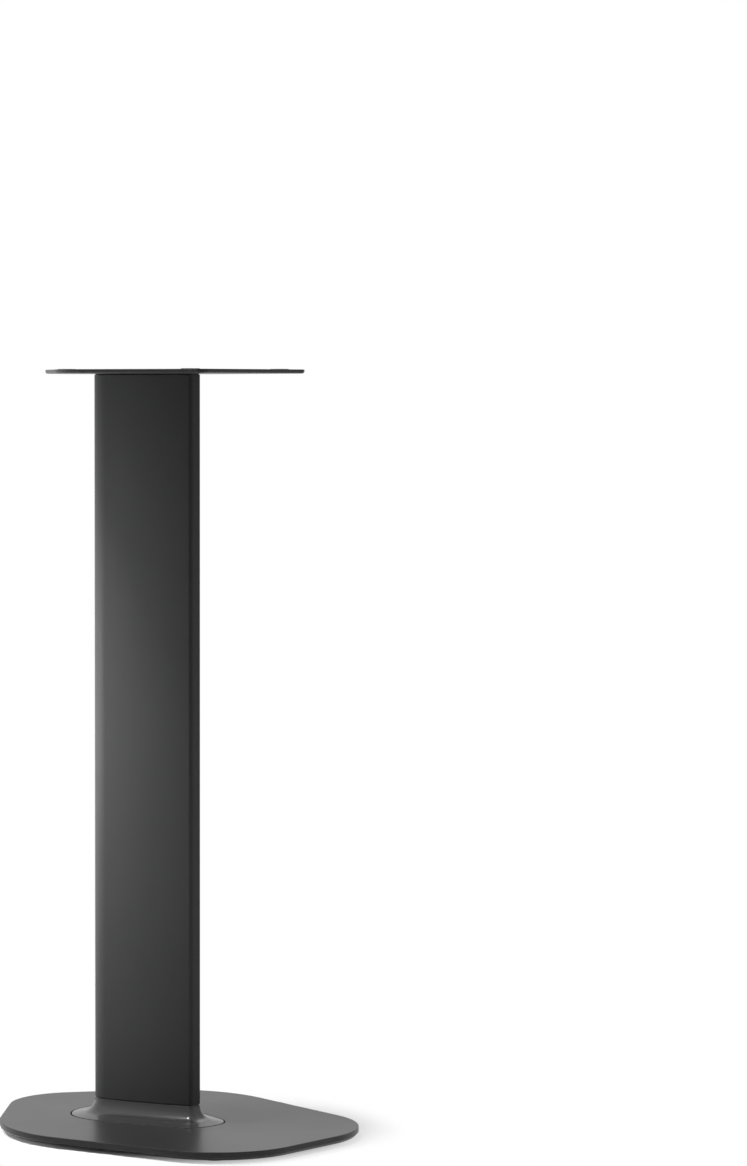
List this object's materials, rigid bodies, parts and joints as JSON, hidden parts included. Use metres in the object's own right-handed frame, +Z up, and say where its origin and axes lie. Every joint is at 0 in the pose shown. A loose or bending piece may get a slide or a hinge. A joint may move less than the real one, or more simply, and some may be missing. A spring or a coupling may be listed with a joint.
{
  "type": "speaker stand",
  "caption": "Loudspeaker stand with an egg-shaped base, a flared collar, a tapered hollow column with a cable duct, a thin top plate and levelling feet.",
  "frame": {"origin": "on the floor, under the middle of the base plate", "axes": "+Z up; the front, where the column has its narrow nose, faces -Y; +X is to the right of someone who faces the front"},
  "size_m": [0.301, 0.376, 0.7456],
  "materials": {
    "plate_coating": "satin graphite powder coat on steel",
    "collar_coating": "satin graphite powder coat on cast aluminium",
    "column_coating": "satin graphite coat on extruded aluminium",
    "rubber": "matte black rubber",
    "soft_pad": "soft matte pad",
    "screw_steel": "zinc-plated countersunk screws",
    "foot_steel": "black oxide steel",
    "stud_steel": "zinc-plated thread"
  },
  "bodies": {
    "root": {"base_plate": "plate_coating", "collar_gasket": "rubber", "collar": "collar_coating", "column_gasket": "rubber", "column": "column_coating", "top_gasket": "rubber", "top_plate": "plate_coating", "top_pads": "soft_pad", "base_screws": "screw_steel", "top_screws": "screw_steel", "lower_grommet": "rubber", "upper_grommet": "rubber"},
    "sole_fl": {"foot_sole_fl": "rubber"},
    "foot_fl": {"foot_disc_fl": "foot_steel", "foot_stud_fl": "stud_steel"},
    "sole_fr": {"foot_sole_fr": "rubber"},
    "foot_fr": {"foot_disc_fr": "foot_steel", "foot_stud_fr": "stud_steel"},
    "sole_rl": {"foot_sole_rl": "rubber"},
    "foot_rl": {"foot_disc_rl": "foot_steel", "foot_stud_rl": "stud_steel"},
    "sole_rr": {"foot_sole_rr": "rubber"},
    "foot_rr": {"foot_disc_rr": "foot_steel", "foot_stud_rr": "stud_steel"}
  },
  "joints": [
    {"name": "height_fl", "type": "slide", "parent": "root", "child": "sole_fl", "axis": [0, 0, 1], "range_m": [-0.0025, 0]},
    {"name": "turn_fl", "type": "hinge", "parent": "sole_fl", "child": "foot_fl", "pos_m": [-0.08189, -0.13594, 0.003], "axis": [0, 0, 1], "range_deg": [-721, 0.5]},
    {"name": "height_fr", "type": "slide", "parent": "root", "child": "sole_fr", "axis": [0, 0, 1], "range_m": [-0.0025, 0]},
    {"name": "turn_fr", "type": "hinge", "parent": "sole_fr", "child": "foot_fr", "pos_m": [0.08189, -0.13594, 0.003], "axis": [0, 0, 1], "range_deg": [-721, 0.5]},
    {"name": "height_rl", "type": "slide", "parent": "root", "child": "sole_rl", "axis": [0, 0, 1], "range_m": [-0.0025, 0]},
    {"name": "turn_rl", "type": "hinge", "parent": "sole_rl", "child": "foot_rl", "pos_m": [-0.08499, 0.10396, 0.003], "axis": [0, 0, 1], "range_deg": [-721, 0.5]},
    {"name": "height_rr", "type": "slide", "parent": "root", "child": "sole_rr", "axis": [0, 0, 1], "range_m": [-0.0025, 0]},
    {"name": "turn_rr", "type": "hinge", "parent": "sole_rr", "child": "foot_rr", "pos_m": [0.08499, 0.10396, 0.003], "axis": [0, 0, 1], "range_deg": [-721, 0.5]}
  ],
  "couplings": [
    {"joint": "turn_fl", "follows": "height_fl", "rad_per_m": 5026.5},
    {"joint": "turn_fr", "follows": "height_fr", "rad_per_m": 5026.5},
    {"joint": "turn_rl", "follows": "height_rl", "rad_per_m": 5026.5},
    {"joint": "turn_rr", "follows": "height_rr", "rad_per_m": 5026.5}
  ]
}
